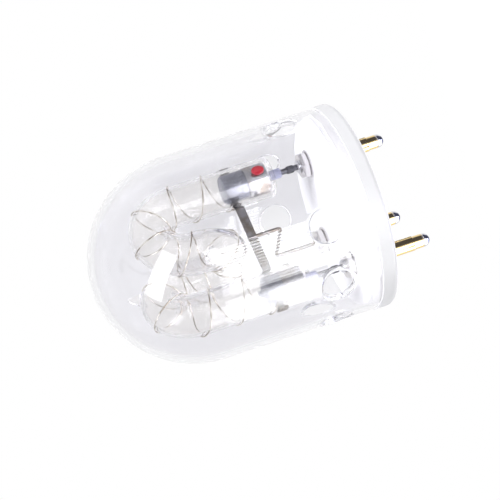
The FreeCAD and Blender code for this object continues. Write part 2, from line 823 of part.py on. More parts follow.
def build():
    pieces = [make_glass_cover(), make_base_disc(), make_bond_ring()]
    for name in PINS:
        pieces += [make_pin_core(name), make_contact_sleeve(name), make_nut(name), make_washer(name)]
    route = TubeRoute()
    pieces.append(make_flash_tube(route))
    for name, leg_end in (("anode", S.anode_leg_end), ("cathode", S.cathode_leg_end)):
        pieces += [make_holder(name, leg_end), make_seal(name, leg_end), make_lead(name, leg_end),
                   make_lead_joint(name)]
    pieces.append(make_electrode("anode", S.anode_leg_end, S.anode_body_length, None))
    pieces.append(make_electrode("cathode", S.cathode_leg_end, S.cathode_body_length, S.cathode_tip_length))
    pieces += [make_tube_strap(), make_trigger_lead(), make_trigger_wire(route), make_polarity_mark()]
    return pieces


def check(pieces):
    """Stops the build if any object failed or any piece isn't one valid solid."""
    for item in doc.Objects:
        if "Invalid" in item.State or "Error" in item.State:
            raise RuntimeError(f"{item.Label} failed: {item.State}")
    for piece in pieces:
        shape = piece.Shape
        if shape.isNull() or not shape.isValid() or len(shape.Solids) != 1:
            raise RuntimeError(f"{piece.Label} isn't one valid solid")


def write(pieces):
    os.makedirs("parts", exist_ok=True)
    for piece in pieces:
        piece.Shape.exportStep(os.path.join("parts", f"{piece.Label}.step"))
        box = piece.Shape.BoundBox
        print(f"{piece.Label:26s} {piece.Shape.Volume:10.2f} mm3  z {box.ZMin:7.2f} to {box.ZMax:7.2f}")


all_pieces = build()
doc.recompute()
check(all_pieces)
write(all_pieces)
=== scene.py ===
"""Plug-in xenon flash tube: a folded quartz tube under a vented glass dome.

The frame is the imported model's: +Z from the base to the dome's apex, the cathode pin
on +X, the anode pin on -X and the trigger pin on -Y. Shapes are worked out in
millimetres and put into the meshes in metres.
"""

import math

import bmesh
import bpy
import numpy as np
from mathutils import Matrix, Vector


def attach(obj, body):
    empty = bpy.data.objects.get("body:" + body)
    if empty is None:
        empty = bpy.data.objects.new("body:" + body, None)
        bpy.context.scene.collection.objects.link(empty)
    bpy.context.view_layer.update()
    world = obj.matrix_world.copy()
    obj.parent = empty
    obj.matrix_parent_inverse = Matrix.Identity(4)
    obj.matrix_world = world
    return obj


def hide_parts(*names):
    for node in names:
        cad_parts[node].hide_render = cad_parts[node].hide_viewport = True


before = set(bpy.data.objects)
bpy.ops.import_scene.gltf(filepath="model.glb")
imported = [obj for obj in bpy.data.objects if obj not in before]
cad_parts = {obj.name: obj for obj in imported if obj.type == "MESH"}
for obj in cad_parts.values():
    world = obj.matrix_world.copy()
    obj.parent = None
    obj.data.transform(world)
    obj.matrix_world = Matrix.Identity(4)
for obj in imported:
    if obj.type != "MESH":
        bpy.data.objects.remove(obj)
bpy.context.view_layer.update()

# Camera: a long lens at the photograph's angle. It looks down by 12.5 degrees and is
# rolled, so that the lamp's base points to the right and a little up.
CAMERA_TURN, CAMERA_FALL, CAMERA_ROLL = 65.5, 12.52, 18.12
CAMERA_DISTANCE, LENS_LENGTH, SENSOR_WIDTH = 900.0, 229.4, 36.0
AIM_LEVEL, AIM_RIGHT, AIM_DOWN = 50.4, -15.99, 2.12
turn, fall, roll = (math.radians(v) for v in (CAMERA_TURN, CAMERA_FALL, CAMERA_ROLL))
toward_base = Vector((0, 0, -1))
sideways = Vector((math.sin(turn), -math.cos(turn), 0))
toward_lens = Vector((math.cos(turn), math.sin(turn), 0))
view_right = (math.cos(roll) * math.cos(fall) * toward_base + math.sin(roll) * sideways
              + math.sin(fall) * math.cos(roll) * toward_lens)
view_down = (-math.sin(roll) * math.cos(fall) * toward_base + math.cos(roll) * sideways
             - math.sin(fall) * math.sin(roll) * toward_lens)
view_away = math.sin(fall) * toward_base - math.cos(fall) * toward_lens
camera_data = bpy.data.cameras.new("camera")
camera_data.sensor_width = SENSOR_WIDTH
camera_data.lens = LENS_LENGTH
camera_data.clip_start = 0.01
camera = bpy.data.objects.new("camera", camera_data)
place = Vector((0, 0, AIM_LEVEL)) - (AIM_RIGHT * view_right + AIM_DOWN * view_down
                                     + CAMERA_DISTANCE * view_away)
turned_axes = Matrix((view_right, -view_down, -view_away)).transposed()
camera.matrix_world = Matrix.Translation(place / 1000) @ turned_axes.to_4x4()
bpy.context.scene.collection.objects.link(camera)
bpy.context.scene.camera = camera


# Base: a disc of white technical ceramic, pressed and ground, which stays as the packed
# model has it. Its colour is a clean white with a trace of grain and fine lathe rings
# where the faces were ground.
class Field:
    """One socket of a node tree, so that shader sums are written as plain sums."""

    def __init__(self, finish, socket):
        self.finish, self.socket = finish, socket

    def math(self, operation, first, second=0.0):
        return self.finish.node("ShaderNodeMath", {"operation": operation}, {0: first, 1: second})

    def __add__(self, other):
        return self.math("ADD", self, other)

    def __sub__(self, other):
        return self.math("SUBTRACT", self, other)

    def __rsub__(self, other):
        return self.math("SUBTRACT", other, self)

    def __mul__(self, other):
        return self.math("MULTIPLY", self, other)

    def __pow__(self, other):
        return self.math("POWER", self, other)

    __radd__ = __add__
    __rmul__ = __mul__

    def step(self, low, high):
        """0 below low, 1 above high, and a smooth rise between."""
        return self.finish.node("ShaderNodeMapRange", {"interpolation_type": "SMOOTHSTEP"},
                                {"Value": self, "From Min": low, "From Max": high})

    def sine(self):
        return self.math("SINE", self)


class Finish:
    """A material, or the world, as a tree of nodes made in reading order."""

    def __init__(self, name, tree=None):
        if tree is None:
            self.material = bpy.data.materials.new(name)
            self.material.use_nodes = True
            tree = self.material.node_tree
        self.tree = tree
        tree.nodes.clear()

    def node(self, kind, settings=None, values=None, out=0):
        """Makes one node: its settings first, then its values and links. It gives back
        the output that is asked for, or a list of them for a tuple of names."""
        made = self.tree.nodes.new(kind)
        for key, value in (settings or {}).items():
            setattr(made, key, value)
        for key, value in (values or {}).items():
            if isinstance(value, Field):
                self.tree.links.new(value.socket, made.inputs[key])
            else:
                made.inputs[key].default_value = value
        if isinstance(out, tuple):
            return [Field(self, made.outputs[name]) for name in out]
        return Field(self, made.outputs[out]) if len(made.outputs) else None

    def place(self, scale):
        """Object coordinates in metres, each times its scale."""
        where = self.node("ShaderNodeTexCoord", out="Object")
        return self.node("ShaderNodeMapping", {}, {"Vector": where, "Scale": scale})

    def noise(self, size, detail=3.0, scale=(1.0, 1.0, 1.0)):
        """Noise from 0 to 1 whose lumps are about one size across, in millimetres. A
        scale under 1 along an axis draws the lumps out along it."""
        return self.node("ShaderNodeTexNoise", {}, {
            "Vector": self.place(scale), "Scale": 1000.0 / size, "Detail": detail})

    def blend(self, factor, first, second):
        """The first colour where the factor is 0 and the second where it is 1."""
        return self.node("ShaderNodeMix", {"data_type": "RGBA"}, {0: factor, 6: first, 7: second},
                         out=2)

    def axes(self):
        """x, y and z in millimetres."""
        return self.node("ShaderNodeSeparateXYZ", {}, {0: self.place((1000.0,) * 3)},
                         out=("X", "Y", "Z"))

    def radius(self):
        """Distance in millimetres from the upright axis."""
        x, y, _ = self.axes()
        return (x * x + y * y) ** 0.5

    def bump(self, height, depth):
        """A normal from a height field; the depth is in millimetres."""
        return self.node("ShaderNodeBump", {},
                         {"Height": height, "Strength": 1.0, "Distance": depth / 1000})

    def principled(self, **values):
        """The principled shader; an underscore in a name stands for a space."""
        return self.node("ShaderNodeBsdfPrincipled", {},
                         {key.replace("_", " "): value for key, value in values.items()})

    def surface(self, **values):
        """The principled shader as the material's surface."""
        return self.output(self.principled(**values))

    def output(self, shade):
        """Any shader as the material's surface."""
        self.node("ShaderNodeOutputMaterial", {}, {"Surface": shade})
        return self


def rgb(red, green, blue):
    """An opaque colour."""
    return (red, green, blue, 1.0)


# Radii in millimetres over which the base's colour turns to a darker grey at the rim.
DARK_RIM_FROM, DARK_RIM_TO = 29.4, 30.0


def ceramic_finish():
    """White body with lathe rings 0.7 mm apart, and a darker grey band at the rim."""
    finish = Finish("base_ceramic")
    cloud = finish.noise(9.0, 2.0)
    grain = finish.noise(0.18, 2.0)
    rings = (finish.radius() * 9.0 + finish.noise(4.0) * 2.0).sine()
    white = finish.blend(cloud * 0.7 + grain * 0.3, rgb(0.88, 0.88, 0.90), rgb(0.92, 0.92, 0.94))
    # A darker grey for the outer 0.6 mm of the radius, at the rim.
    dark_rim_grey = finish.blend(cloud, rgb(0.62, 0.62, 0.64), rgb(0.66, 0.66, 0.68))
    colour = finish.blend(finish.radius().step(DARK_RIM_FROM, DARK_RIM_TO), white, dark_rim_grey)
    return finish.surface(
        Base_Color=colour, Roughness=0.30 + grain * 0.14, Specular_IOR_Level=0.5,
        Normal=finish.bump(rings * 0.5 + grain * 0.5, 0.008)).material


base_ceramic = ceramic_finish()
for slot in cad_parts["base_disc"].material_slots:
    slot.link = "OBJECT"
    slot.material = base_ceramic


# Bond: off-white ceramic cement in the narrow gap between the cover's skirt and the
# base's spigot. It is filled by hand, so its top edge wavers a little.
def grid_faces(rows, columns, rows_close, columns_close):
    """Quads between neighbouring points of a grid that is numbered row by row."""
    row = np.arange(rows if rows_close else rows - 1)[:, None]
    column = np.arange(columns if columns_close else columns - 1)[None, :]
    corners = [row * columns + column,
               row * columns + (column + 1) % columns,
               (row + 1) % rows * columns + (column + 1) % columns,
               (row + 1) % rows * columns + column]
    return np.stack([np.broadcast_to(c, (row.size, column.size)) for c in corners], -1).reshape(-1, 4)


def full_turn(columns):
    """Angles once round, evenly spaced."""
    return np.linspace(0, 2 * np.pi, columns, endpoint=False)


def round_axis(radius, angle, height, place=(0.0, 0.0)):
    """Points (x + r cos a, y + r sin a, z) round the upright axis through a place."""
    return np.stack(np.broadcast_arrays(
        place[0] + radius * np.cos(angle), place[1] + radius * np.sin(angle), height), -1)


def turned(profile, place=(0.0, 0.0), columns=64, closed=True, first_turn=0.0):
    """Surface of revolution of a profile of (r, z). A closed profile is a ring; an open
    one is a band, or a solid if it starts and ends on the axis."""
    radius, height = np.asarray(profile, float).T[..., None]
    return (round_axis(radius, first_turn + full_turn(columns), height, place),
            grid_faces(len(radius), columns, closed, True))


def rounded(corners, closed=True, steps=5):
    """An outline whose corner (across, up, round) is an arc tangent to both its sides:
    the arc leaves each side at round / tan(half the inner angle) from the corner."""
    line = []
    count = len(corners)
    for k, (across, up, radius) in enumerate(corners):
        corner = np.array([across, up], float)
        if radius == 0 or (not closed and k in (0, count - 1)):
            line.append(corner)
            continue
        before = np.array(corners[k - 1][:2], float) - corner
        after = np.array(corners[(k + 1) % count][:2], float) - corner
        before, after = before / np.linalg.norm(before), after / np.linalg.norm(after)
        half = math.acos(np.clip(before @ after, -1, 1)) / 2
        middle = corner + (before + after) / np.linalg.norm(before + after) * radius / math.sin(half)
        start = corner + before * radius / math.tan(half) - middle
        end = corner + after * radius / math.tan(half) - middle
        sweep = np.pi - 2 * half
        share = np.linspace(0, 1, steps + 1)[:, None]
        line.extend(middle + (np.sin((1 - share) * sweep) * start + np.sin(share * sweep) * end)
                    / math.sin(sweep))
    return np.array(line)


def make_piece(name, surface, finish, crease=32.0):
    """Puts a surface's points and faces into a mesh. Seams and poles are merged, the
    faces are turned outwards by the sign of the volume, and only creases stay sharp."""
    points, faces = surface
    mesh = bpy.data.meshes.new(name)
    mesh.from_pydata((points.reshape(-1, 3) / 1000).tolist(), [], faces.tolist())
    work = bmesh.new()
    work.from_mesh(mesh)
    bmesh.ops.remove_doubles(work, verts=work.verts, dist=1e-6)
    bmesh.ops.recalc_face_normals(work, faces=work.faces)
    if work.calc_volume(signed=True) < 0:
        bmesh.ops.reverse_faces(work, faces=work.faces)
    for face in work.faces:
        face.smooth = True
    work.to_mesh(mesh)
    work.free()
    mesh.set_sharp_from_angle(angle=math.radians(crease))
    mesh.materials.append(finish)
    piece = bpy.data.objects.new(name, mesh)
    bpy.context.scene.collection.objects.link(piece)
    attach(piece, "root")
    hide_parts(name)
    return piece


def cement_finish():
    """Fired cement: fine dull lumps in two shades of off-white."""
    finish = Finish("cement")
    lumps = finish.noise(0.7, 4.0)
    colour = finish.blend(lumps, rgb(0.84, 0.83, 0.83), rgb(0.92, 0.92, 0.93))
    return finish.surface(Base_Color=colour, Roughness=0.7 + lumps * 0.2,
                          Normal=finish.bump(lumps, 0.06)).material


CEMENT_IN, CEMENT_OUT, CEMENT_LOW, CEMENT_TOP, CEMENT_ROUND = 27.86, 28.19, 4.82, 7.75, 0.1


def bond_surface(columns=180):
    """A ring's outline turned round the base. At turn a its top edge moves up by
    0.22 sin(3a + 1) + 0.16 sin(8a) + 0.1 sin(19a + 2) - 0.48 millimetres."""
    points, faces = turned(rounded([
        (CEMENT_IN, CEMENT_LOW, 0), (CEMENT_OUT, CEMENT_LOW, 0),
        (CEMENT_OUT, CEMENT_TOP, CEMENT_ROUND), (CEMENT_IN, CEMENT_TOP, CEMENT_ROUND)]), columns=columns)
    angle = full_turn(columns)
    waver = (0.22 * np.sin(3 * angle + 1) + 0.16 * np.sin(8 * angle)
             + 0.1 * np.sin(19 * angle + 2) - 0.48)
    at_top = points[..., 2] > (CEMENT_LOW + CEMENT_TOP) / 2
    points[..., 2] += at_top * waver
    return points, faces


make_piece("bond_ring", bond_surface(), cement_finish())


# Contact pins: one turned bar each, nickel plated. A threaded stud goes up through the
# base, a collar bears on it from below, and the core ends in a polished round tip.
PIN_PLACES = {"cathode": (17.1, 0.0), "anode": (-17.1, 0.0), "trigger": (0.0, -17.1)}
STUD_R, STUD_TOP, STUD_LOW, HOLE_LOW = 1.95, 12.2, 8.0, 10.4
THREAD_DEPTH, THREAD_PITCH, THREAD_LOW, THREAD_STEPS = 0.26, 0.7, 8.3, 8
COLLAR_R, COLLAR_TOP, COLLAR_LOW = 2.9, 0.2, -0.9
CORE_R, CORE_LOW, NECK_R, NECK_LOW, TIP_R, TIP_LEVEL = 1.3, -12.74, 1.74, -12.92, 2.0, -13.0
LEAD_HOLE_R = {"cathode": 0.9, "anode": 0.9, "trigger": 0.6}


def nickel_finish(name, dull, tone):
    """Bright nickel plate: faint rub marks, and a tone that drifts a little."""
    finish = Finish(name)
    drift = finish.noise(2.5, 3.0)
    rubs = finish.noise(0.25, 2.0, (1.0, 1.0, 0.15))
    colour = finish.blend(drift, rgb(*(0.88 * v for v in tone)), rgb(*tone))
    return finish.surface(Base_Color=colour, Metallic=1.0, Roughness=dull + rubs * 0.1,
                          Normal=finish.bump(rubs, 0.002)).material


def draw_in(points, place, share):
    """Moves points to a share of their distance from the upright axis through a place."""
    middle = np.array(place)
    points[..., :2] = middle + (points[..., :2] - middle) * share[..., None]


def pin_surface(place, hole_radius):
    """The pin's turned outline with a thread cut into the stud: at height z and turn a
    the radius loses a triangle wave of z / pitch - a / 2 pi, which fades out below."""
    stud = rounded([(0, HOLE_LOW, 0), (hole_radius, HOLE_LOW, 0), (hole_radius, STUD_TOP, 0.08),
                    (STUD_R - 0.3, STUD_TOP, 0.05), (STUD_R, STUD_TOP - 0.3, 0)], False, 3)
    heights = np.arange(STUD_TOP - 0.35, THREAD_LOW, -THREAD_PITCH / THREAD_STEPS)
    thread = np.stack([np.full_like(heights, STUD_R), heights], -1)
    tip = np.linspace(0, np.pi / 2, 13)
    below = rounded([
        (STUD_R, STUD_LOW, 0), (STUD_R, COLLAR_TOP, 0.05), (COLLAR_R, COLLAR_TOP, 0.12),
        (COLLAR_R, COLLAR_LOW, 0.12), (CORE_R, COLLAR_LOW, 0.05), (CORE_R, CORE_LOW, 0.02),
        (NECK_R, CORE_LOW, 0.04), (NECK_R, NECK_LOW, 0.04), (TIP_R, NECK_LOW, 0.1),
        (TIP_R, TIP_LEVEL, 0)], False, 3)
    ball = np.stack([TIP_R * np.cos(tip), TIP_LEVEL - TIP_R * np.sin(tip)], -1)
    ball[-1, 0] = 0.0
    profile = np.concatenate([stud, thread, below, ball])
    columns = 48
    points, faces = turned(profile, place, columns, False)
    cut = np.zeros(len(profile))
    start, end = len(stud), len(stud) + len(thread)
    cut[start:end] = THREAD_DEPTH
    cut[end - THREAD_STEPS:end] *= np.linspace(1, 0, THREAD_STEPS)
    share = np.linspace(0, 1, columns, endpoint=False)
    wave = np.abs(2 * ((profile[:, 1][:, None] / THREAD_PITCH - share) % 1) - 1)
    keep = 1 - (cut[:, None] * wave) / np.maximum(profile[:, 0][:, None], 0.1)
    draw_in(points, place, keep)
    return points, faces


pin_nickel = nickel_finish("pin_nickel", 0.06, (0.80, 0.80, 0.83))
for pin, place_of_pin in PIN_PLACES.items():
    make_piece(f"{pin}_pin", pin_surface(place_of_pin, LEAD_HOLE_R[pin]), pin_nickel)

# Contact sleeves: a gold-plated spring sleeve pressed on each core. The wider rear part
# is slit lengthwise in four and springs in the socket; the front part is a plain ring.
SLEEVE = {"bore": 1.35, "rear": 2.15, "front": 1.95,
          "back": -0.98, "slit_top": -3.0, "step": -10.0, "end": -12.7}
SLIT_HALF_WIDTH, SLITS, FINGER_COLUMNS = 0.2, 4, 15


def sleeve_surface(place):
    """A closed outline turned round the pin, open at four slits. Columns stand at the
    slit edges, asin(half width / r) either side of a slit's middle; the faces between
    them are left out and side and end walls close the gap."""
    s = SLEEVE
    outer = rounded([(s["bore"], s["back"], 0), (s["rear"], s["back"], 0.12),
                     (s["rear"], s["slit_top"], 0)], False, 3)
    front = rounded([(s["rear"] - 0.12, s["step"], 0), (s["front"], s["step"], 0),
                     (s["front"], s["end"], 0.1), (s["bore"], s["end"], 0.05),
                     (s["bore"], s["step"], 0)], False, 3)
    ring = np.concatenate([outer, [(s["rear"], s["step"] + 0.12)], front, [(s["bore"], s["slit_top"])]])
    first, after = len(outer) - 1, len(outer)
    inner_low, inner_high = len(ring) - 2, len(ring) - 1
    finger = FINGER_COLUMNS
    share = np.linspace(-1, 1, finger)
    radius = ring[:, 0]
    slit = np.arcsin(SLIT_HALF_WIDTH / radius)
    middle = np.arange(SLITS) * 2 * np.pi / SLITS
    reach = np.pi / SLITS - slit
    angle = middle[None, :, None] + share[None, None, :] * reach[:, None, None]
    angle = angle.reshape(len(ring), -1)
    columns = SLITS * finger
    points = round_axis(radius[:, None], angle, ring[:, 1:], place)
    faces = grid_faces(len(ring), columns, True, True)
    row, column = faces[:, 0] // columns, faces[:, 0] % columns
    over_slit = column % finger == finger - 1
    slit_rows = ((row >= first) & (row < after + 2)) | (row == inner_low)
    faces = faces[~(over_slit & slit_rows)]
    side_walls = [(first, after, inner_low, inner_high), (after, after + 1, after + 2, inner_low)]
    walls = []
    for k in range(SLITS):
        left, right = (k + 1) * finger - 1, (k + 1) * finger % columns
        walls += [[row * columns + edge for row in rows] for edge in (left, right) for rows in side_walls]
        walls += [[top * columns + left, top * columns + right, low * columns + right, low * columns + left]
                  for top, low in ((first, inner_high), (after + 2, inner_low))]
    return points, np.concatenate([faces, walls])


def gold_finish():
    """Gold plate whose tone drifts, over drawing marks that run along the sleeve."""
    finish = Finish("contact_gold")
    drift = finish.noise(1.6, 3.0)
    drawn = finish.noise(0.12, 3.0, (1.0, 1.0, 0.05))
    colour = finish.blend(drift, rgb(0.83, 0.60, 0.24), rgb(0.95, 0.76, 0.42))
    return finish.surface(Base_Color=colour, Metallic=1.0, Roughness=0.10 + drawn * 0.12,
                          Normal=finish.bump(drawn, 0.003)).material


contact_gold = gold_finish()
for pin, place_of_pin in PIN_PLACES.items():
    make_piece(f"{pin}_contact_sleeve", sleeve_surface(place_of_pin), contact_gold)

# Nuts and washers: a plain washer and a hexagon nut, nickel plated, on each stud inside
# the cover. They pull the pin's collar against the base.
NUT_FLAT, NUT_LOW, NUT_TOP, NUT_BORE, CONE_DROP, FACE_SHARE = 3.5, 8.92, 11.3, 1.98, 0.42, 0.975
WASHER_BORE, WASHER_R, WASHER_LOW, WASHER_TOP = 2.0, 4.2, 8.41, 8.9


def nut_surface(place):
    """At turn a the hexagon's radius is flat / cos of the angle to the nearest flat's
    middle. The end faces reach the flats' radius, and a cone runs from there to it."""
    columns = 96
    angle = full_turn(columns)
    off = (angle % (np.pi / 3)) - np.pi / 6
    hexagon = NUT_FLAT / np.cos(off)
    drop = CONE_DROP * (hexagon - NUT_FLAT) / (NUT_FLAT * (2 / math.sqrt(3) - 1)) + 0.05
    ones = np.ones(columns)
    rows = [(NUT_BORE * ones, (NUT_LOW + 0.3) * ones), (NUT_BORE * ones, (NUT_TOP - 0.3) * ones),
            ((NUT_BORE + 0.3) * ones, NUT_TOP * ones), (NUT_FLAT * FACE_SHARE * ones, NUT_TOP * ones),
            (hexagon - 0.03, NUT_TOP - drop), (hexagon, NUT_TOP - drop - 0.08),
            (hexagon, NUT_LOW + drop + 0.08), (hexagon - 0.03, NUT_LOW + drop),
            (NUT_FLAT * FACE_SHARE * ones, NUT_LOW * ones), ((NUT_BORE + 0.3) * ones, NUT_LOW * ones)]
    radius = np.array([r for r, _ in rows])
    height = np.array([z for _, z in rows])
    return round_axis(radius, angle, height, place), grid_faces(len(rows), columns, True, True)


nut_nickel = nickel_finish("nut_nickel", 0.16, (0.78, 0.76, 0.77))
for pin, (x, y) in PIN_PLACES.items():
    make_piece(f"{pin}_nut", nut_surface((x, y)), nut_nickel, crease=24.0)
    make_piece(f"{pin}_washer", turned(rounded([
        (WASHER_BORE, WASHER_LOW, 0.05), (WASHER_R, WASHER_LOW, 0.1),
        (WASHER_R, WASHER_TOP, 0.1), (WASHER_BORE, WASHER_TOP, 0.05)]), (x, y)),
        nut_nickel)

# Leads: dark tungsten-coloured rods from the electrodes down into the studs. Each has a
# crimped ferrule above the stud and leaves the quartz through a stem of sealing glass.
LEG_END, HOLDER_STAND = {"anode": 20.2, "cathode": 22.7}, 1.5
LEAD_R, LEAD_LOW, SEAL_BORE, SEAL_R, SEAL_DROP = 0.85, 10.7, 0.87, 1.48, 3.0
FERRULE_BORE, FERRULE_R, FERRULE_LOW, FERRULE_TOP, PINCH_LEVEL = 0.86, 1.15, 13.2, 15.3, 14.2


def dark_rod_finish(name, dark, light, dull):
    """Drawn metal with a thin dark oxide: streaks along Z and a few paler rubs."""
    finish = Finish(name)
    streaks = finish.noise(0.3, 4.0, (1.0, 1.0, 0.12))
    rubs = finish.noise(1.5, 3.0).step(0.55, 0.75)
    colour = finish.blend(streaks * 0.6 + rubs * 0.4, rgb(*dark), rgb(*light))
    return finish.surface(Base_Color=colour, Metallic=1.0, Roughness=dull + streaks * 0.2,
                          Normal=finish.bump(streaks, 0.006)).material


def seal_finish():
    """Sealing glass: clear but milky lilac, with fine drawn streaks along the stem."""
    finish = Finish("seal_glass")
    streaks = finish.noise(0.5, 3.0, (1.0, 1.0, 0.2))
    colour = finish.blend(streaks, rgb(0.50, 0.52, 0.74), rgb(0.66, 0.67, 0.86))
    return finish.surface(Base_Color=colour, Roughness=0.12 + streaks * 0.1, IOR=1.48,
                          Transmission_Weight=0.35, Normal=finish.bump(streaks, 0.02)).material


lead_metal = dark_rod_finish("lead_metal", (0.10, 0.10, 0.12), (0.30, 0.30, 0.33), 0.25)
joint_metal = dark_rod_finish("joint_metal", (0.07, 0.07, 0.08), (0.22, 0.22, 0.25), 0.3)
seal_glass = seal_finish()


def ferrule_surface(place):
    """A turned ferrule pinched from four sides: its radius loses the fourth power of
    cos 2a times a hump over the middle of its height."""
    columns = 32
    profile = rounded([(FERRULE_BORE, FERRULE_LOW, 0), (FERRULE_R, FERRULE_LOW, 0.2)]
                      + [(FERRULE_R, level, 0) for level in (13.6, 13.9, 14.2, 14.5, 14.8)]
                      + [(FERRULE_R, FERRULE_TOP, 0.2), (FERRULE_BORE, FERRULE_TOP, 0)])
    points, faces = turned(profile, place, columns)
    hump = np.exp(-((profile[:, 1] - PINCH_LEVEL) / 0.4) ** 2) * (profile[:, 0] > 1)
    draw_in(points, place, 1 - 0.16 * hump[:, None] * np.cos(2 * full_turn(columns)) ** 4)
    return points, faces


for leg, leg_end in LEG_END.items():
    x, y = PIN_PLACES[leg]
    make_piece(f"{leg}_lead", turned(rounded([
        (0, LEAD_LOW, 0), (LEAD_R, LEAD_LOW, 0.1), (LEAD_R, leg_end + HOLDER_STAND, 0.1),
        (0, leg_end + HOLDER_STAND, 0)], False), (x, y), 32, False), lead_metal)
    make_piece(f"{leg}_lead_joint", ferrule_surface((x, y)), joint_metal)
    make_piece(f"{leg}_seal", turned(rounded([
        (SEAL_BORE, leg_end - SEAL_DROP, 0.1), (SEAL_R, leg_end - SEAL_DROP, 0.3),
        (SEAL_R, leg_end + 1.4, 0.1), (SEAL_BORE, leg_end + 1.4, 0.1)]), (x, y), 40),
        seal_glass)

# Electrodes: behind each closed end stands a bright turned holder, and in front of it
# the sintered plug that gives off the electrons; the cathode's has a small emitter tip.
HOLDER_R, HOLDER_LENGTH, GROOVE_DEPTH, PLUG_R, EMITTER_R = 4.6, 6.6, 0.12, 4.3, 0.9


def holder_finish():
    """Turned nickel: fine lathe rings across the axis and a brownish heat tint."""
    finish = Finish("holder_metal")
    _, _, z = finish.axes()
    rings = (z * 38.0 + finish.noise(1.0) * 3.0).sine() * 0.5 + 0.5
    heat = finish.noise(3.5, 2.0).step(0.45, 0.7)
    colour = finish.blend(heat, rgb(0.56, 0.56, 0.60), rgb(0.36, 0.30, 0.26))
    return finish.surface(Base_Color=colour, Metallic=1.0, Roughness=0.06 + rings * 0.08,
                          Normal=finish.bump(rings, 0.006)).material


def sintered_finish():
    """Pressed tungsten powder: slate grey, satin, with small open pores."""
    finish = Finish("sintered_metal")
    grain = finish.noise(0.14, 3.0)
    cloud = finish.noise(2.2, 2.0)
    colour = finish.blend(grain * 0.5 + cloud * 0.5, rgb(0.15, 0.16, 0.21), rgb(0.36, 0.37, 0.43))
    return finish.surface(Base_Color=colour, Metallic=0.9, Roughness=0.2 + grain * 0.15,
                          Normal=finish.bump(grain, 0.03)).material


holder_metal, sintered_metal = holder_finish(), sintered_finish()
for leg, length, tip_length in (("anode", 6.9, 0.0), ("cathode", 4.9, 2.0)):
    low = LEG_END[leg] + HOLDER_STAND
    join = low + HOLDER_LENGTH
    top = join + length
    make_piece(f"{leg}_holder", turned(rounded([
        (0, low, 0), (HOLDER_R, low, 0.45), (HOLDER_R, low + 1.6, 0.05),
        (HOLDER_R - GROOVE_DEPTH, low + 1.7, 0.05), (HOLDER_R - GROOVE_DEPTH, low + 2.0, 0.05),
        (HOLDER_R, low + 2.1, 0.05), (HOLDER_R, join, 0.12), (0, join, 0)], False, 4),
        PIN_PLACES[leg], 72, False), holder_metal)
    crown = [(0, top, 0)] if not tip_length else [
        (EMITTER_R, top, 0.15), (EMITTER_R, top + tip_length - 0.3, 0.3), (0, top + tip_length, 0)]
    make_piece(f"{leg}_electrode", turned(rounded([
        (0, join + 0.02, 0), (PLUG_R, join + 0.02, 0.1), (PLUG_R, top, 0.45)] + crown, False, 4),
        PIN_PLACES[leg], 72, False), sintered_metal)


# Flash tube: one length of clear quartz tube, bent in a flame into three U bends and
# closed at both ends; the exhaust tip was drawn off on the last bend.
TUBE_R, BORE_R, SEAL_HOLE_R, END_WALL, END_ROUND, FLOOR_ROUND = 6.0, 5.0, 1.52, 1.2, 1.1, 0.5
PASSES = [(-17.1, 0.0), (2.4, 7.2), (2.6, -9.5), (17.1, 0.0)]
LEVELS = [20.2, 50.0, 49.4, 54.4, 22.7]
TIP_OFF = {"angle": 30.0, "root": 2.8, "length": 4.3, "reach": 4.2, "turn": 0.62}


def turn_about(axis, angle):
    """Rotation matrices about one axis by an array of angles (Rodrigues' formula)."""
    x, y, z = axis
    cross = np.array([[0, -z, y], [z, 0, -x], [-y, x, 0]])
    angle = np.asarray(angle)[..., None, None]
    return np.eye(3) + np.sin(angle) * cross + (1 - np.cos(angle)) * (cross @ cross)


def tube_stretches():
    """The tube's centre line as stretches: straight passes joined by half circles. Each
    holds its length, start, far point or centre, starting frame and turn axis."""
    stretches, axes = [], np.eye(3)
    for k, (x, y) in enumerate(PASSES):
        start, end = np.array([x, y, LEVELS[k]]), np.array([x, y, LEVELS[k + 1]])
        stretches.append((abs(LEVELS[k + 1] - LEVELS[k]), start, end, axes, None))
        if k == len(PASSES) - 1:
            return stretches
        across = np.array([PASSES[k + 1][0] - x, PASSES[k + 1][1] - y, 0.0])
        radius = np.linalg.norm(across) / 2
        turn_axis = np.cross(axes[:, 2], across / (2 * radius))
        stretches.append((np.pi * radius, end, end + across / 2, axes, turn_axis))
        axes = turn_about(turn_axis, np.pi) @ axes


STRETCHES = tube_stretches()
TUBE_LENGTH = sum(stretch[0] for stretch in STRETCHES)


def along_tube(distance):
    """Centre points and twist-free frames (columns: two across, one along) at an array
    of distances: a straight pass moves on, a bend turns about its centre."""
    distance = np.asarray(distance, float)
    centre, axes = np.zeros(distance.shape + (3,)), np.zeros(distance.shape + (3, 3))
    first = 0.0
    for row, (length, start, other, start_axes, turn_axis) in enumerate(STRETCHES):
        last = row == len(STRETCHES) - 1
        here = (distance >= first - 1e-9) & ((distance < first + length) | last)
        share = (distance[here] - first) / length
        if turn_axis is None:
            centre[here] = start + share[:, None] * (other - start)
            axes[here] = start_axes
        else:
            spin = turn_about(turn_axis, np.pi * share)
            centre[here] = other + spin @ (start - other)
            axes[here] = spin @ start_axes
        first += length
    return centre, axes


def tip_off_axis():
    """Where the exhaust tip's axis leaves the last bend, and its direction."""
    leg, far_pass = np.array([*PASSES[3], LEVELS[3]]), np.array([*PASSES[2], LEVELS[3]])
    toward = (leg - far_pass) / np.linalg.norm(leg - far_pass)
    angle = math.radians(TIP_OFF["angle"])
    return (leg + far_pass) / 2, np.array([0, 0, 1.0]) * math.cos(angle) - toward * math.sin(angle)


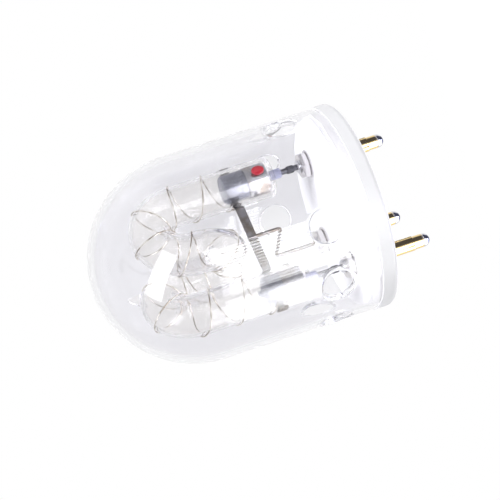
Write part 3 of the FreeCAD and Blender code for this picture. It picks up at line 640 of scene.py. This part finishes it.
def flash_tube_surface():
    """A closed outline of (distance along the line, radius) carried along the tube's
    line: hole wall, rounded end, outer wall, far end, and back along the bore. At share q
    of the way in from the exhaust tip's root the outer wall is lifted along the tip's
    axis by length * q^2.1 / (q^2.1 + 0.75 (1 - q)^1.3), like glass drawn off to a point."""
    bend_centre, tip_axis = tip_off_axis()
    before = sum(stretch[0] for stretch in STRETCHES[:5])
    tip_at = before + STRETCHES[5][0] * (90 - TIP_OFF["angle"]) / 180
    steps, first = [], 0.0
    bend_step, straight_step = 0.75, 1.5
    for length, _, _, _, turn_axis in STRETCHES:
        count = max(2, round(length / (straight_step if turn_axis is None else bend_step)))
        steps.append(first + np.linspace(0, length, count, endpoint=False))
        first += length
    line = np.concatenate(steps)
    line = line[(line > END_ROUND + 0.3) & (line < TUBE_LENGTH - END_ROUND - 0.3)]
    bore_line = line[(line > END_WALL + 0.6) & (line < TUBE_LENGTH - END_WALL - 0.6)]
    reach = TIP_OFF["reach"]
    line = np.concatenate([line[np.abs(line - tip_at) > reach], tip_at + np.linspace(-reach, reach, 70)])
    line.sort()
    near_end = np.array([[0, SEAL_HOLE_R], [0, SEAL_HOLE_R + 1.58]] + [
        [END_ROUND * (1 - math.cos(a)), TUBE_R - END_ROUND + END_ROUND * math.sin(a)]
        for a in np.linspace(0, math.pi / 2, 8)])
    far_end = near_end[::-1] * [-1, 1] + [TUBE_LENGTH, 0]
    floor_round = [[END_WALL + FLOOR_ROUND * (1 - math.cos(a)),
                    BORE_R - FLOOR_ROUND + FLOOR_ROUND * math.sin(a)]
                   for a in np.linspace(0, math.pi / 2, 5)]
    near_floor = np.array([[END_WALL, SEAL_HOLE_R]] + floor_round)
    far_floor = near_floor * [-1, 1] + [TUBE_LENGTH, 0]
    profile = np.concatenate([
        near_end, np.stack([line, np.full_like(line, TUBE_R)], -1), far_end, far_floor,
        np.stack([bore_line[::-1], np.full_like(bore_line, BORE_R)], -1), near_floor[::-1]])
    centre, axes = along_tube(np.clip(profile[:, 0], 0, TUBE_LENGTH))
    tip_place = along_tube(np.array([tip_at]))
    outward = (tip_axis @ tip_place[1][0])[:2]
    tip_turn = math.atan2(outward[1], outward[0])
    dense = tip_turn + np.linspace(-TIP_OFF["turn"], TIP_OFF["turn"], 56)
    rest = tip_turn + np.linspace(TIP_OFF["turn"], 2 * np.pi - TIP_OFF["turn"], 52)[1:-1]
    angle = np.concatenate([dense, rest])
    across = profile[:, 1][:, None, None] * (np.cos(angle)[None, :, None] * axes[:, None, :, 0]
                                             + np.sin(angle)[None, :, None] * axes[:, None, :, 1])
    points = centre[:, None, :] + across
    from_bend = points - bend_centre
    height = from_bend @ tip_axis
    off_axis = np.linalg.norm(from_bend - height[..., None] * tip_axis, axis=-1)
    outer = profile[:, 1] > (BORE_R + TUBE_R) / 2
    near_tip = np.abs(profile[:, 0] - tip_at) < reach + 0.1
    share = np.clip((TIP_OFF["root"] - off_axis) / TIP_OFF["root"], 0, 1)
    lift = TIP_OFF["length"] * np.where(
        share > 0, share ** 2.1 / (share ** 2.1 + (1 - share) ** 1.3 * 0.75), 0)
    lift = np.where((outer & near_tip)[:, None] & (height > 0), lift, 0)
    points = points + lift[..., None] * tip_axis
    return points, grid_faces(len(profile), len(angle), True, True)


def clear_glass(name, tint, deep, waves, wave_depth):
    """Clear glass that refracts. Shadow rays pass straight through it, so that the lamps
    reach what stands inside, and so does light that has been caught in a wall for five
    turns. Broad faint waves come from the flame."""
    finish = Finish(name)
    drift = finish.noise(waves * 2, 2.0)
    colour = finish.blend(drift, rgb(*tint), rgb(*deep))
    wave = finish.noise(waves, 2.0)
    glass = finish.principled(Base_Color=colour, Roughness=0.0, IOR=1.46, Transmission_Weight=1.0,
                              Normal=finish.bump(wave, wave_depth))
    clear = finish.node("ShaderNodeBsdfTransparent", {}, {"Color": rgb(0.97, 0.97, 0.98)})
    shadow, ray_depth = finish.node("ShaderNodeLightPath", out=("Is Shadow Ray", "Ray Depth"))
    straight = shadow + ray_depth.step(4.5, 5.5)
    return finish.output(finish.node("ShaderNodeMixShader", {}, {0: straight, 1: glass, 2: clear})).material


quartz = clear_glass("quartz", (0.99, 0.982, 0.966), (0.975, 0.963, 0.938), 5.0, 0.03)
make_piece("flash_tube", flash_tube_surface(), quartz, crease=40.0)


# Strap: a strip of spring steel that runs between the legs and hooks round the back of
# both. The trigger voltage reaches it through the bent lead that is welded to its middle.
STRAP_LEVEL, STRAP_HALF_WIDTH, STRAP_HALF_THICKNESS = 32.4, 1.35, 0.15
HOOK_R, STRAP_BEND, OVERRUN = 6.25, 1.4, 12.0


def heading_of(line):
    """Unit vectors along a line of points."""
    step = np.gradient(line, axis=0)
    return step / np.linalg.norm(step, axis=1)[:, None]


def swept(line, across, up, outline):
    """An outline (u, v) carried along a line: line + u * across + v * up at each station.
    Both ends are closed by shrinking the outline to its middle."""
    points = (line[:, None, :] + outline[None, :, :1] * across[:, None, :]
              + outline[None, :, 1:] * up[:, None, :])
    ends = [np.repeat(p.mean(0)[None, None, :], len(outline), 1) for p in (points[0], points[-1])]
    points = np.concatenate([ends[0], points, ends[1]])
    return points, grid_faces(len(points), len(outline), False, True)


def strap_line():
    """Half of the strap: a hook of one circle round the leg's far side, a small bend and
    a straight run to the middle; the other half is its mirror image."""
    leg = PIN_PLACES["cathode"][0]
    reach = math.sqrt((HOOK_R + STRAP_BEND) ** 2 - STRAP_BEND ** 2)
    meet = math.atan2(-STRAP_BEND, -reach)
    hook = np.linspace(math.radians(OVERRUN), meet, 60)
    bend = np.linspace(math.pi + meet, math.pi / 2, 10)
    run = np.linspace(leg - reach, 0, 12)[1:]
    half = np.concatenate([
        np.stack([leg + HOOK_R * np.cos(hook), HOOK_R * np.sin(hook)], -1),
        np.stack([leg - reach + STRAP_BEND * np.cos(bend),
                  -STRAP_BEND + STRAP_BEND * np.sin(bend)], -1)[1:],
        np.stack([run, np.zeros_like(run)], -1)])
    whole = np.concatenate([half, half[-2::-1] * [-1, 1]])
    return np.concatenate([whole, np.full((len(whole), 1), STRAP_LEVEL)], 1)


def strap_finish():
    """Rolled spring steel with a brown heat tint: fine roll lines along the strip."""
    finish = Finish("strap_steel")
    lines = finish.noise(0.15, 3.0, (0.06, 0.3, 1.0))
    heat = finish.noise(2.8, 3.0).step(0.35, 0.65)
    colour = finish.blend(heat, rgb(0.34, 0.33, 0.34), rgb(0.20, 0.16, 0.13))
    return finish.surface(Base_Color=colour, Metallic=1.0, Roughness=0.22 + lines * 0.2,
                          Normal=finish.bump(lines, 0.006)).material


def strap_surface():
    """A flat section with rounded edges carried along the strap's line on its edge."""
    line = strap_line()
    upright = np.tile([0, 0, 1.0], (len(line), 1))
    thick, wide, edge = STRAP_HALF_THICKNESS, STRAP_HALF_WIDTH, 0.08
    section = rounded([(-thick, -wide, edge), (thick, -wide, edge), (thick, wide, edge),
                       (-thick, wide, edge)], steps=3)
    return swept(line, np.cross(heading_of(line), upright), upright, section)


strap_steel = strap_finish()
make_piece("tube_strap", strap_surface(), strap_steel)

# Trigger lead: a steel rod spot-welded to the strap's middle, bent over and led down into
# the trigger pin's stud.
TRIGGER_R, TRIGGER_BEND, TRIGGER_LEVEL, TRIGGER_TOP, TRIGGER_BESIDE = 0.55, 1.4, 24.0, 33.95, 0.70


def circle(radius, sides):
    """A round section: radius * (cos a, sin a)."""
    angle = full_turn(sides)
    return radius * np.stack([np.cos(angle), np.sin(angle)], -1)


def bent_rod(corners, bend, radius, sides=24):
    """A round rod along straight runs with an arc at each corner, in the YZ plane: its
    section stands in the plane's normal and the run's own normal."""
    path = rounded([(y, z, bend) for y, z in corners], False, 10)
    points = np.stack([np.zeros(len(path)), path[:, 0], path[:, 1]], -1)
    side = np.tile([1.0, 0, 0], (len(points), 1))
    return swept(points, side, np.cross(heading_of(points), side), circle(radius, sides))


trigger_y = PIN_PLACES["trigger"][1]
trigger_corners = [(TRIGGER_BESIDE, TRIGGER_TOP), (TRIGGER_BESIDE, TRIGGER_LEVEL),
                   (trigger_y, TRIGGER_LEVEL), (trigger_y, LEAD_LOW)]
make_piece("trigger_lead", bent_rod(trigger_corners, TRIGGER_BEND, TRIGGER_R), strap_steel)

# Trigger wire: fine resistance wire wound round the quartz at a pitch of 10 mm, from the
# strap on one leg, over all three bends, to the strap on the other.
WIRE_R, WIRE_RING, WIRE_PITCH, WIRE_START, WIRE_PER_MM = 0.18, 6.24, 10.0, 34.11, 7


def trigger_wire_surface():
    """A helix round the tube's line: at distance s the wire stands at the ring radius and
    turn -2 pi (s - first) / pitch of the twist-free frame. Its own section is a small
    circle across the helix's direction."""
    first, last = WIRE_START - LEG_END["anode"], TUBE_LENGTH - (WIRE_START - LEG_END["cathode"])
    distance = np.linspace(first, last, round((last - first) * WIRE_PER_MM))
    centre, axes = along_tube(distance)
    turn = -2 * np.pi * (distance - first) / WIRE_PITCH
    radial = np.cos(turn)[:, None] * axes[:, :, 0] + np.sin(turn)[:, None] * axes[:, :, 1]
    helix = centre + WIRE_RING * radial
    step = heading_of(helix)
    across = radial - (radial * step).sum(1)[:, None] * step
    across /= np.linalg.norm(across, axis=1)[:, None]
    return swept(helix, across, np.cross(step, across), circle(WIRE_R, 10))


def wire_finish():
    """Resistance wire: bright metal with stretches of brown scale."""
    finish = Finish("wire_metal")
    tint = finish.noise(2.6, 2.0).step(0.38, 0.62)
    scale = finish.noise(0.12, 3.0)
    colour = finish.blend(tint, rgb(0.30, 0.25, 0.20), rgb(0.80, 0.76, 0.70))
    return finish.surface(Base_Color=colour, Metallic=1.0, Roughness=0.25 + scale * 0.2,
                          Normal=finish.bump(scale, 0.004)).material


make_piece("trigger_wire", trigger_wire_surface(), wire_finish())


# Polarity mark: a dab of red enamel, brushed on the anode leg and fired.
MARK = {"height": 24.6, "half_length": 1.88, "half_width": 1.48, "inner": 6.02, "thick": 0.12}


def mark_surface(columns=48):
    """A patch on the leg: at share q of its radius and turn a it stands at
    x = q w cos a and z = q l sin a, and its thickness is t (1 - q^6)."""
    share = np.concatenate([np.linspace(0, 0.8, 7), [0.88, 0.94, 0.98, 1.0]])
    angle = full_turn(columns)
    x = share[:, None] * MARK["half_width"] * np.cos(angle)
    z = share[:, None] * MARK["half_length"] * np.sin(angle)
    sheets = []
    for thick in (MARK["thick"] * (1 - share ** 6), np.zeros_like(share)):
        radius = MARK["inner"] + thick[:, None]
        sheets.append(np.stack([PIN_PLACES["anode"][0] + x, np.sqrt(radius ** 2 - x ** 2),
                                MARK["height"] + z], -1))
    return (np.concatenate([sheets[0], sheets[1][::-1]]),
            grid_faces(2 * len(share), columns, False, True))


def enamel_finish():
    """Glossy red with faint brush strokes."""
    finish = Finish("red_enamel")
    brush = finish.noise(0.6, 3.0, (1.0, 1.0, 0.3))
    colour = finish.blend(brush, rgb(0.30, 0.002, 0.012), rgb(0.52, 0.008, 0.03))
    return finish.surface(Base_Color=colour, Roughness=0.2 + brush * 0.15, Coat_Weight=0.4,
                          Normal=finish.bump(brush, 0.02)).material


make_piece("polarity_mark", mark_surface(), enamel_finish())

# Glass cover: a blown borosilicate dome with a straight skirt. Eight vents are melted
# through the skirt, four on each side, and the flame left their lips softly rounded.
COVER_R, COVER_WALL, DOME_LEVEL, RIM_LEVEL = 30.0, 1.8, 50.4, 4.82
VENT_R, VENT_LEVEL, VENT_LIP, VENT_INNER_LIP, VENT_TURN = 4.5, 18.0, 1.15, 0.45, 5.5
CELL, CELL_HALF_HEIGHT, PER_CELL, VENT_STEPS = 36.0, 9.0, 18, (-1.5, -0.5, 0.5, 1.5)


def vent_cell(middle):
    """One 36 degree cell of the skirt with its vent. A row is a closed loop of one depth
    under the outer surface; rows go from the cell's edge in to the lip, over a quarter
    round through the wall, over the inner lip and out to the cell's edge again. A point
    (across t, up v) of a loop stands at turn asin(t / radius) from the cell's middle."""
    side = np.linspace(-1, 1, PER_CELL, endpoint=False)
    one = np.ones(PER_CELL)
    square = np.concatenate([np.stack([side, -one], -1), np.stack([one, side], -1),
                             np.stack([-side, one], -1), np.stack([-one, -side], -1)])
    half_turn = math.radians(CELL / 2)
    turns = square[:, 0] * half_turn
    ups = square[:, 1] * CELL_HALF_HEIGHT
    heading = np.arctan2(ups, COVER_R * np.sin(turns))
    lip = np.linspace(0, np.pi / 2, 7)
    rings = [(VENT_R + VENT_LIP * (1 - math.sin(a)), VENT_LIP * (1 - math.cos(a))) for a in lip]
    rings += [(VENT_R + VENT_INNER_LIP * (1 - math.cos(a)),
               COVER_WALL - VENT_INNER_LIP * (1 - math.sin(a))) for a in np.linspace(0, np.pi / 2, 5)]

    def loop(size, depth):
        """The loop of one radius round the vent's middle, at one depth in the wall."""
        radius = COVER_R - depth
        return (np.arcsin(size * np.cos(heading) / radius), size * np.sin(heading),
                np.full(len(heading), radius))

    rows = []
    for share in np.linspace(0, 1, 7, endpoint=False) ** 0.8:
        turn, up, radius = loop(rings[0][0], 0.0)
        rows.append((turns + share * (turn - turns), ups + share * (up - ups), radius))
    rows += [loop(size, depth) for size, depth in rings]
    for share in np.linspace(0, 1, 8)[1:] ** 1.25:
        turn, up, radius = loop(rings[-1][0], COVER_WALL)
        rows.append((turn + share * (turns - turn), up + share * (ups - up), radius))
    turn, up, radius = (np.array(v) for v in zip(*rows))
    return (round_axis(radius, turn + middle, VENT_LEVEL + up),
            grid_faces(len(rows), len(heading), False, True))


def plain_cell(middle, radius):
    """The same cell without a vent, one wall face of it: a patch of the cylinder."""
    turn = middle + np.radians(CELL / 2) * np.linspace(-1, 1, PER_CELL + 1)
    up = VENT_LEVEL + CELL_HALF_HEIGHT * np.linspace(-1, 1, PER_CELL + 1)
    turn, up = np.meshgrid(turn, up)
    return round_axis(radius, turn, up), grid_faces(PER_CELL + 1, PER_CELL + 1, False, False)


def cover_band(profile):
    """A band of the cover round the whole turn, its columns in line with the cells'."""
    return turned(profile, columns=round(360 / CELL) * PER_CELL, closed=False,
                  first_turn=math.radians(VENT_TURN - CELL * 2))


def joined(*surfaces):
    """Several surfaces as one, each with its own points."""
    points, faces, first = [], [], 0
    for some_points, some_faces in surfaces:
        points.append(some_points.reshape(-1, 3))
        faces.append(some_faces + first)
        first += len(points[-1])
    return np.concatenate(points), np.concatenate(faces)


def glass_cover_surface():
    """Dome: r cos b, z + r sin b for both walls. Skirt: bands above and below the vents'
    cells, and a rim whose outer edge is a small quarter round."""
    inner_r = COVER_R - COVER_WALL
    high, low = VENT_LEVEL + CELL_HALF_HEIGHT, VENT_LEVEL - CELL_HALF_HEIGHT
    climb = np.linspace(0, np.pi / 2, 46)
    walls = []
    for radius in (COVER_R, inner_r):
        dome = np.stack([radius * np.cos(climb), DOME_LEVEL + radius * np.sin(climb)], -1)
        dome[-1, 0] = 0.0
        levels = np.linspace(high, DOME_LEVEL, 16, endpoint=False)
        straight = np.stack([np.full(len(levels), radius), levels], -1)
        walls.append(cover_band(np.concatenate([straight, dome])))
    rim = [(COVER_R, low, 0), (COVER_R, RIM_LEVEL, 0.5), (inner_r, RIM_LEVEL, 0.12), (inner_r, low, 0)]
    walls.append(cover_band(rounded(rim, False)))
    for side in (0, 180):
        for step in VENT_STEPS:
            walls.append(vent_cell(math.radians(side + VENT_TURN + step * CELL)))
        for radius in (COVER_R, inner_r):
            walls.append(plain_cell(math.radians(side + VENT_TURN + 90), radius))
    return joined(*walls)


cover_glass = clear_glass("cover_glass", (0.905, 0.902, 0.923), (0.89, 0.887, 0.91), 22.0, 0.03)
make_piece("glass_cover", glass_cover_surface(), cover_glass)

# Floor: a round sheet of pale paper well below the pins. It fades out at its edge, and
# the polished metal doesn't show it.
FLOOR_LEVEL, FLOOR_R = -120.0, 300.0
floor_mesh = bpy.data.meshes.new("floor")
floor_points, floor_faces = turned([(0, FLOOR_LEVEL), (FLOOR_R / 2, FLOOR_LEVEL), (FLOOR_R, FLOOR_LEVEL)],
                                   columns=96, closed=False)
floor_mesh.from_pydata((floor_points.reshape(-1, 3) / 1000).tolist(), [], floor_faces.tolist())
floor = bpy.data.objects.new("floor", floor_mesh)
bpy.context.scene.collection.objects.link(floor)
floor_finish = Finish("floor_paper")
edge = floor_finish.radius().step(FLOOR_R * 0.45, FLOOR_R * 0.97)
fibre = floor_finish.noise(1.2, 3.0)
floor_mesh.materials.append(floor_finish.surface(
    Base_Color=floor_finish.blend(fibre, rgb(0.90, 0.90, 0.91), rgb(0.94, 0.94, 0.95)),
    Roughness=0.9, Alpha=1 - edge, Normal=floor_finish.bump(fibre, 0.05)).material)
floor.visible_glossy = False


# Lamps: a soft round key light on the dome's side and a weak fill beside the lens. Glass
# and metal show the room and not the lamps themselves.
LAMP_DISTANCE, LAMP_AIM = 0.9, Vector((0, 0, 0.035))


def to_frame(x, y, z):
    """A direction given as right, down and toward the lens, in the object's frame."""
    return (x * view_right + y * view_down - z * view_away).normalized()


def lamp(name, side, size, power):
    """A round soft lamp in metres and watts that faces the object from one side."""
    data = bpy.data.lights.new(name, "AREA")
    data.shape, data.size, data.energy = "DISK", size, power
    made = bpy.data.objects.new(name, data)
    away = to_frame(*side)
    made.matrix_world = (Matrix.Translation(LAMP_AIM + away * LAMP_DISTANCE)
                         @ away.to_track_quat("Z", "Y").to_matrix().to_4x4())
    bpy.context.scene.collection.objects.link(made)
    made.visible_glossy = False
    made.visible_camera = False
    made.visible_transmission = False


lamp("key", (-0.85, 0.0, 0.5), 0.5, 10.0)
lamp("fill", (0.35, 0.15, 0.92), 0.6, 1.2)

# Room: a white studio. A dark panel over the flash tube and a dark disc behind its base
# give the glass its edges. A bright ribbed screen with a plain strip beside it stands low
# on the base's side, and a tilted light box draws the white patches on the tube's bends.
SCREEN, STRIP, LIGHT_BOX, ROOM_LIGHT = 12.0, 6.0, 9.0, 0.85
RIBS_PER_RADIAN, DARK_IN_MIRRORS, DARK_THROUGH_GLASS = 110.0, 0.88, 0.4
world = bpy.data.worlds.new("studio")
bpy.context.scene.world = world
world.use_nodes = True
sky = Finish("studio", world.node_tree)
direction = sky.node("ShaderNodeTexCoord", out="Generated")


def toward(vector):
    """How far the ray's direction leans toward a direction of the room."""
    return sky.node("ShaderNodeVectorMath", {"operation": "DOT_PRODUCT"},
                    {0: direction, 1: tuple(vector)}, out="Value")


def span(field, rise, fall):
    """1 between two pairs of limits, 0 outside them, with a smooth rise and fall."""
    return field.step(*rise) - field.step(*fall)


def soft_box(normal, middle, along, half_width, half_length):
    """1 inside a long box of the room with soft edges, 0 outside."""
    across = toward(to_frame(*normal))
    length = toward(to_frame(*along))
    inside = ((across * across).step(half_width ** 2 * 1.15, half_width ** 2 * 0.85)
              * (length * length).step(half_length ** 2 * 1.1, half_length ** 2 * 0.9))
    return inside * toward(to_frame(*middle)).step(0.0, 0.1)


# The turn round the object's axis is 0 toward the lens and grows downward in the view;
# basewards is 1 straight behind the base.
around = sky.node("ShaderNodeMath", {"operation": "ARCTAN2"}, {0: toward(sideways), 1: toward(toward_lens)})
basewards = toward(toward_base)
overhead = span(around, (-2.0, -1.6), (-0.45, -0.05)) * basewards.step(-0.35, 0.0)
dark = 1.0 - (1.0 - overhead) * (1.0 - basewards.step(0.7, 0.86))
ribs = (around * RIBS_PER_RADIAN).sine() * 0.45 + 0.55
screen = (SCREEN * ribs * span(around, (-0.03, 0.08), (0.91, 0.96))
          + STRIP * span(around, (1.03, 1.07), (1.5, 1.7)))
box = LIGHT_BOX * soft_box((-0.7766, -0.5, -0.3833), (-0.579, 0.3255, 0.748), (-0.251, 0.804, -0.540),
                           0.157, 0.438)
camera_ray, glossy_ray, through_ray = sky.node(
    "ShaderNodeLightPath", out=("Is Camera Ray", "Is Glossy Ray", "Is Transmission Ray"))
mirror_ray = glossy_ray * (1.0 - through_ray)
in_mirrors = 1.0 - DARK_IN_MIRRORS * dark + basewards.step(0.195, 0.222) * screen + box
through_glass = 1.0 - DARK_THROUGH_GLASS * dark + basewards.step(0.15, 0.18) * screen + 0.5 * box
strength = (camera_ray + mirror_ray * in_mirrors + through_ray * through_glass
            + (1.0 - camera_ray) * (1.0 - glossy_ray) * (1.0 - through_ray) * ROOM_LIGHT)
tone = sky.blend(dark * mirror_ray, rgb(1.0, 1.0, 1.0), rgb(0.62, 0.66, 1.0))
background = sky.node("ShaderNodeBackground", {}, {"Color": tone, "Strength": strength})
sky.node("ShaderNodeOutputWorld", {}, {"Surface": background})

# The cover and the tube are four walls of glass, so light may turn often on its way.
GLASS_TURNS = 24
scene = bpy.context.scene
scene.view_settings.view_transform = "Standard"
scene.cycles.max_bounces = GLASS_TURNS
scene.cycles.transmission_bounces = GLASS_TURNS
scene.cycles.transparent_max_bounces = GLASS_TURNS
